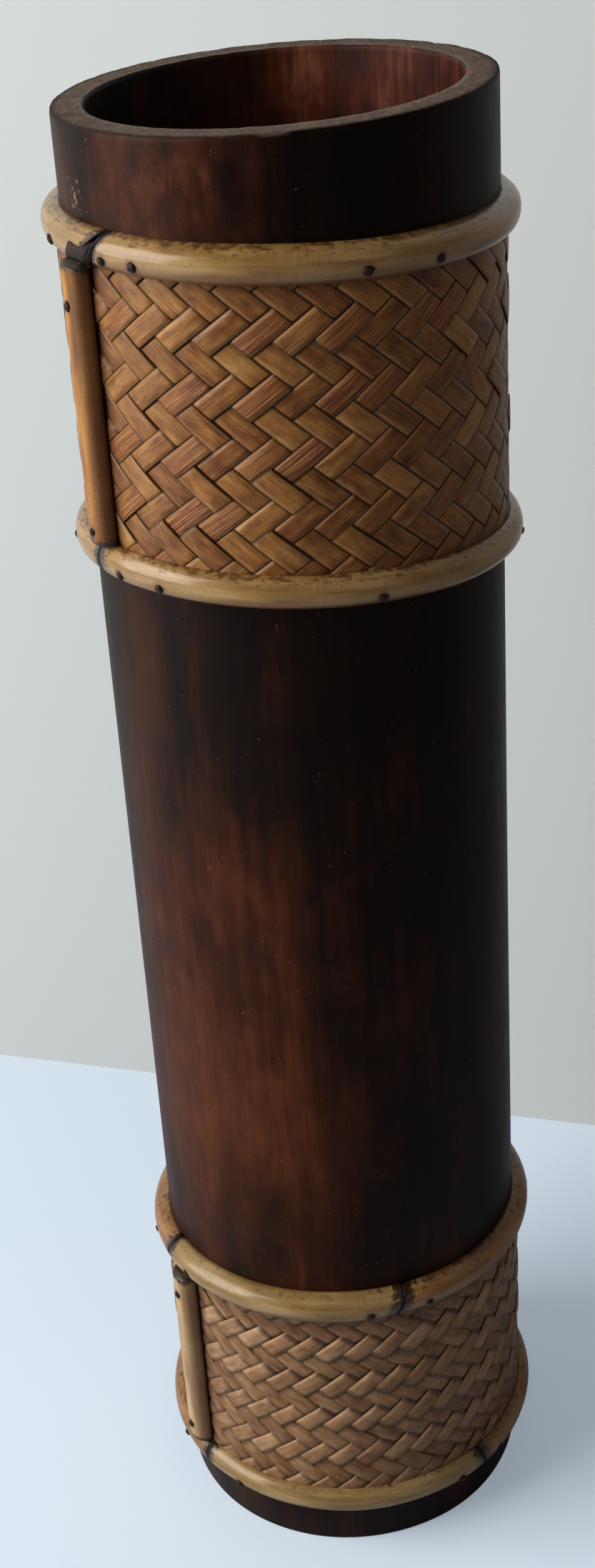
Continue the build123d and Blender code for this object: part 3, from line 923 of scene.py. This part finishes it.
def make_glue():
    """The two lumps at the top of the upper batten, and one in each joint, just inside the cane's section.

    A joint has its ring, turn, lean and half width in mm.
    """
    mesh = bmesh.new()
    half = hoop_width / 2
    low_edge = ring_height(top_ring, 4) - half
    add_lump(
        mesh, turn=4.6, height=low_edge + 3.3 * mm, lean=2.2,
        wide=4.6 * mm, tall=3.4 * mm, thick=3.0 * mm, ring=top_ring,
    )
    add_lump(
        mesh, turn=3.2, height=low_edge + 0.3 * mm, lean=0.0,
        wide=4.4 * mm, tall=1.1 * mm, thick=4.5 * mm,
    )
    joints = [
        (top_ring, 10.0, 3.4, 0.7), (second_ring, -1.0, 0.0, 1.0), (third_ring, -6.0, 0.0, 1.0),
        (third_ring, 75.3, 2.0, 1.1), (foot_ring, 5.8, 0.0, 1.0), (foot_ring, 102.9, -1.2, 1.1),
    ]
    for ring, turn, lean, wide in joints:
        height = ring_height(ring, turn)
        add_lump(mesh, turn, height, lean, wide * mm, half * 0.97, hoop_thickness * 0.95, ring)
    smooth(mesh)
    return mesh


glue, shader, place = new_material("dark_hide_glue")
mottle = node(glue, "Mapping", {"Vector": place, "Scale": per_mm(0.9, 0.9, 1.5)})
mottle = node(glue, "TexNoise", {"Vector": mottle, "Scale": 1.0, "Detail": 6.0, "Roughness": 0.7})
glue_stops = [(0.38, "#0d0708"), (0.5, "#1d1213"), (0.6, "#3a241c"), (0.72, "#6b4a33")]
colour = node(glue, "ValToRGB", {"Fac": mottle}, stops=glue_stops)
relief = node(glue, "Bump", {"Height": mottle, "Strength": 0.8, "Distance": 0.3 * mm})
feed(glue, shader, {"Base Color": colour, "Roughness": 0.62, "Normal": relief, "Specular IOR Level": 0.25})
piece("joint_glue_lumps", make_glue(), [glue], "dark_glue", "hoop_joint_glue")

# Camera
# It stands above the rim and looks down at the front of the vase, as the photograph does. Its place, its
# lens and its lean in radians were fitted to the rim, the hoops and the foot.

camera_data = bpy.data.cameras.new("camera")
camera_data.sensor_width = 36
camera_data.lens = 47.62
camera_data.shift_x = -0.0472
camera_data.clip_start = 0.01
camera = bpy.data.objects.new("camera", camera_data)
bpy.context.scene.collection.objects.link(camera)
bpy.context.scene.camera = camera
stand_turn, stand_back, stand_height = 59.5, 501.8 * mm, 504.2 * mm
yaw, pitch, roll = 0.0301, 0.4944, -0.0461
across = turned(stand_turn + 90, 1, 0)
away = -turned(stand_turn, 1, 0)
gaze = (across * sin(yaw) + away * cos(yaw)) * cos(pitch) - Vector((0, 0, sin(pitch)))
level = across * cos(yaw) - away * sin(yaw)
upright = level.cross(gaze)
right_side = level * cos(roll) + upright * sin(roll)
top_side = upright * cos(roll) - level * sin(roll)
facing = Matrix((right_side, top_side, -gaze)).transposed().to_4x4()
camera.matrix_world = Matrix.Translation(turned(stand_turn, stand_back, stand_height)) @ facing

# Table, wall and light
# A pale table top and a pale wall close behind it, lit softly from a window on the left. The wall can be
# seen through from behind, so that it never hides the vase from a camera on its other side.


def stage_sheet(name, corners, colour, bounce, lift, rough):
    """Flat sheet in a pale colour, which throws a darker one on the vase so that its shade stays deep."""
    mesh = bmesh.new()
    mesh.faces.new([mesh.verts.new(corner) for corner in corners])
    sheet = placed(name, mesh)
    material, shader = new_material(name + "_paint")[:2]
    path = node(material, "LightPath", ())
    seen = path.outputs["Is Camera Ray"]
    for ray in ("Is Glossy Ray", "Is Transmission Ray"):
        seen = node(material, "Math", (seen, path.outputs[ray]), operation="MAXIMUM")
    shown = node(material, "MixRGB", (seen, bounce, colour))
    glow = node(material, "Math", (path.outputs["Is Camera Ray"], lift), operation="MULTIPLY")
    feed(material, shader, {"Base Color": shown, "Roughness": rough})
    feed(material, shader, {"Emission Color": shown, "Emission Strength": glow})
    sheet.data.materials.append(material)
    return material, shader


half_sheet = 3.0
corner_signs = ((-1, -1), (1, -1), (1, 1), (-1, 1))
table_corners = [(right * half_sheet, back * half_sheet, 0) for right, back in corner_signs]
wall_left, wall_right = Vector((-10.3, 255.8, 0)) * mm, Vector((158.6, 71.6, 0)) * mm
along_wall = (wall_right - wall_left).normalized() * half_sheet
foot_points = [wall_left - along_wall, wall_left + along_wall]
wall_corners = foot_points + [point + Vector((0, 0, half_sheet)) for point in reversed(foot_points)]
stage_sheet("table", table_corners, colour="#d6e7f8", bounce="#7b8187", lift=0.33, rough=0.8)
paint, shader = stage_sheet("wall", wall_corners, colour="#d3dde2", bounce="#7b8187", lift=0.15, rough=0.9)
see_through = node(paint, "BsdfTransparent", ())
behind = node(paint, "NewGeometry", ()).outputs["Backfacing"]
both = node(paint, "MixShader", (behind, shader, see_through))
feed(paint, paint.node_tree.nodes["Material Output"], {"Surface": both})

room = bpy.data.worlds.new("room")
bpy.context.scene.world = room
room.use_nodes = True
feed(room, room.node_tree.nodes["Background"], {"Color": "#e4ebf2", "Strength": 0.1})


def lamp(name, turn, back, height, size, power, colour):
    """Rectangular area light that faces the middle of the vase."""
    aim_height = 0.22
    light = bpy.data.lights.new(name, "AREA")
    light.shape = "RECTANGLE"
    light.size, light.size_y = size
    light.energy = power
    light.color = linear(colour)[:3]
    made = bpy.data.objects.new(name, light)
    bpy.context.scene.collection.objects.link(made)
    spot = turned(turn, back, height)
    aim = Vector((0, 0, aim_height)) - spot
    made.matrix_world = Matrix.Translation(spot) @ aim.to_track_quat("-Z", "Y").to_matrix().to_4x4()


lamp("window", turn=-17.0, back=1.3, height=0.75, size=(1.1, 1.3), power=27, colour="#fff8ef")
lamp("room_fill", turn=88, back=1.6, height=1.1, size=(1.2, 1.2), power=2.3, colour="#ffd6b0")

bpy.context.scene.view_settings.view_transform = "Standard"
